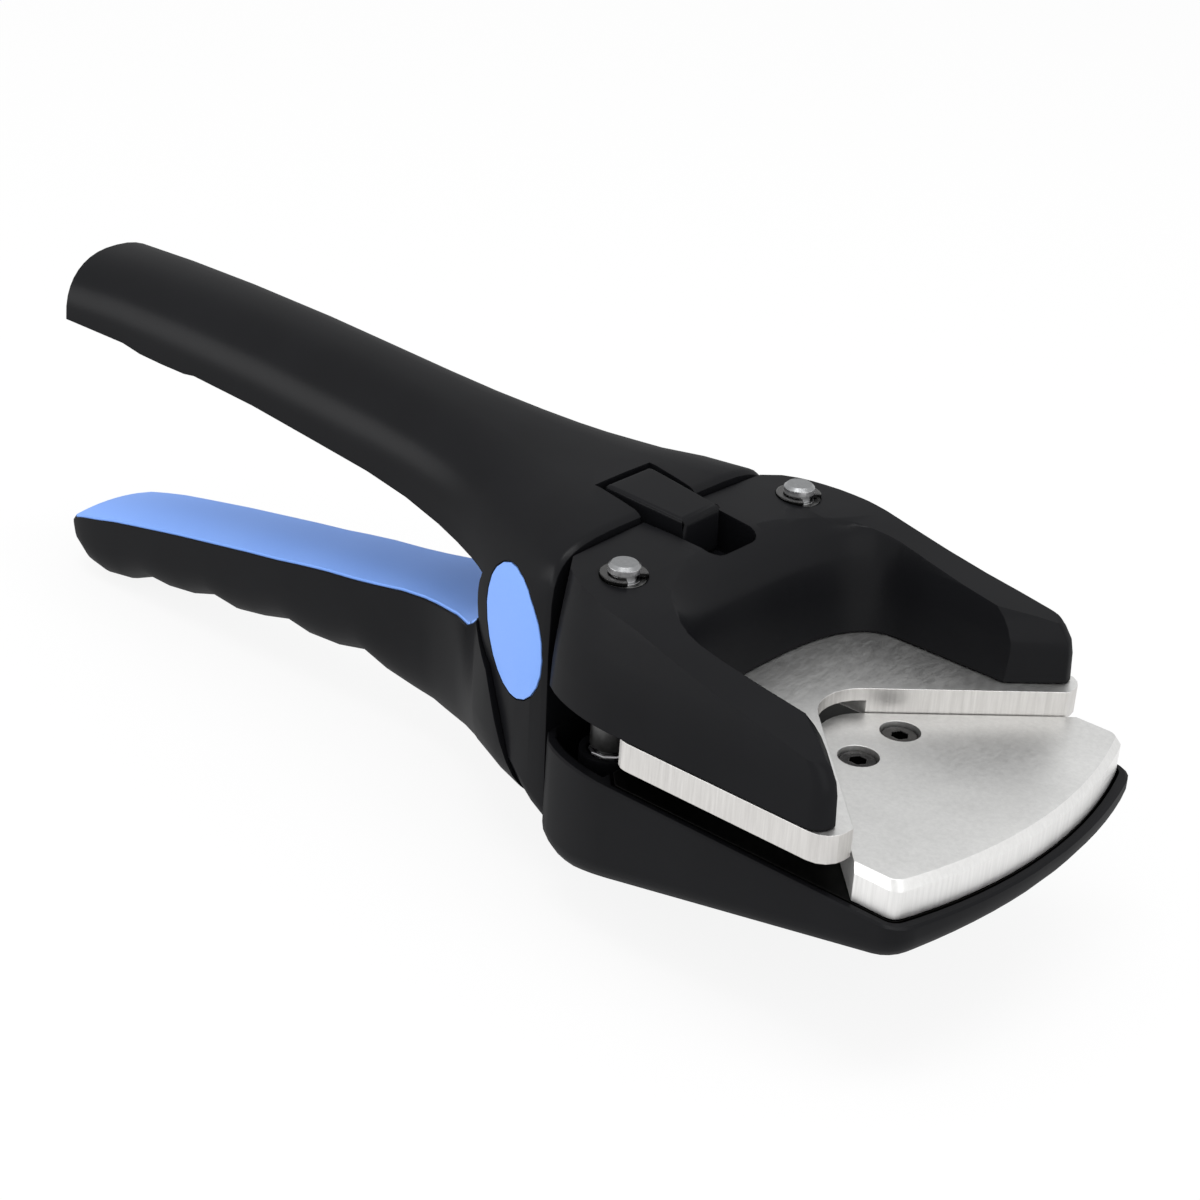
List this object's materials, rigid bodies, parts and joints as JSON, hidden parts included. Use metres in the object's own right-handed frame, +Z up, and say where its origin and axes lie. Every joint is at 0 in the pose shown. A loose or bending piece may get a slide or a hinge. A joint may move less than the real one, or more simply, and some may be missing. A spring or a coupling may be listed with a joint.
{
  "type": "corner rounder",
  "caption": "Hand-held corner rounder: a squeeze lever drives a sliding head with a V-shaped blade plate down past a fixed round-nosed steel die.",
  "frame": {"origin": "on the die's flat top face, midway between its two socket screws", "axes": "+X forwards towards the bowed front of the die and base, +Y to the far side across the tool, +Z up, square to the die's top face; the head slides along Z"},
  "size_m": [0.2585, 0.0812, 0.0798],
  "materials": {
    "black_moulding": "satin black glass-filled nylon",
    "blue_grip": "soft blue grip strip",
    "blue_cap": "satin blue plug",
    "ground_steel": "ground steel",
    "bright_pin": "bright ground pin",
    "spring_wire": "spring wire",
    "bush_steel": "dark steel bush",
    "black_oxide": "black oxide steel"
  },
  "bodies": {
    "frame": {"frame": "black_moulding", "base_plate": "ground_steel", "die_block": "ground_steel", "die_screw_near": "black_oxide", "die_screw_far": "black_oxide", "base_screw_1": "black_oxide", "base_screw_2": "black_oxide", "base_screw_3": "black_oxide", "base_screw_4": "black_oxide", "guide_pin_near": "bright_pin", "guide_pin_far": "bright_pin", "retaining_clip_near": "black_oxide", "retaining_clip_far": "black_oxide", "return_spring_near": "spring_wire", "return_spring_far": "spring_wire", "pivot_axle": "bright_pin", "pivot_cap_near": "blue_cap", "pivot_cap_far": "blue_cap"},
    "lever": {"lower_handle": "black_moulding", "handle_pad": "blue_grip", "press_arm": "black_moulding", "arm_pin": "bright_pin"},
    "head": {"head": "black_moulding", "upper_blade": "ground_steel", "blade_screw_1": "black_oxide", "blade_screw_2": "black_oxide", "blade_screw_3": "black_oxide", "blade_screw_4": "black_oxide", "guide_bush_near": "bush_steel", "guide_bush_far": "bush_steel"}
  },
  "joints": [
    {"name": "lever_pivot", "type": "hinge", "parent": "frame", "child": "lever", "pos_m": [-0.0642, 0, 0.0085], "axis": [0, 1, 0], "range_deg": [0, 14]},
    {"name": "head_slide", "type": "slide", "parent": "frame", "child": "head", "axis": [0, 0, 1], "range_m": [-0.00486, 0], "stiffness_N_per_m": 800, "springref_m": 0.003, "deforming": ["return_spring_near", "return_spring_far"]}
  ],
  "couplings": [
    {"joint": "head_slide", "follows": "lever_pivot", "m_per_rad": -0.019796}
  ]
}
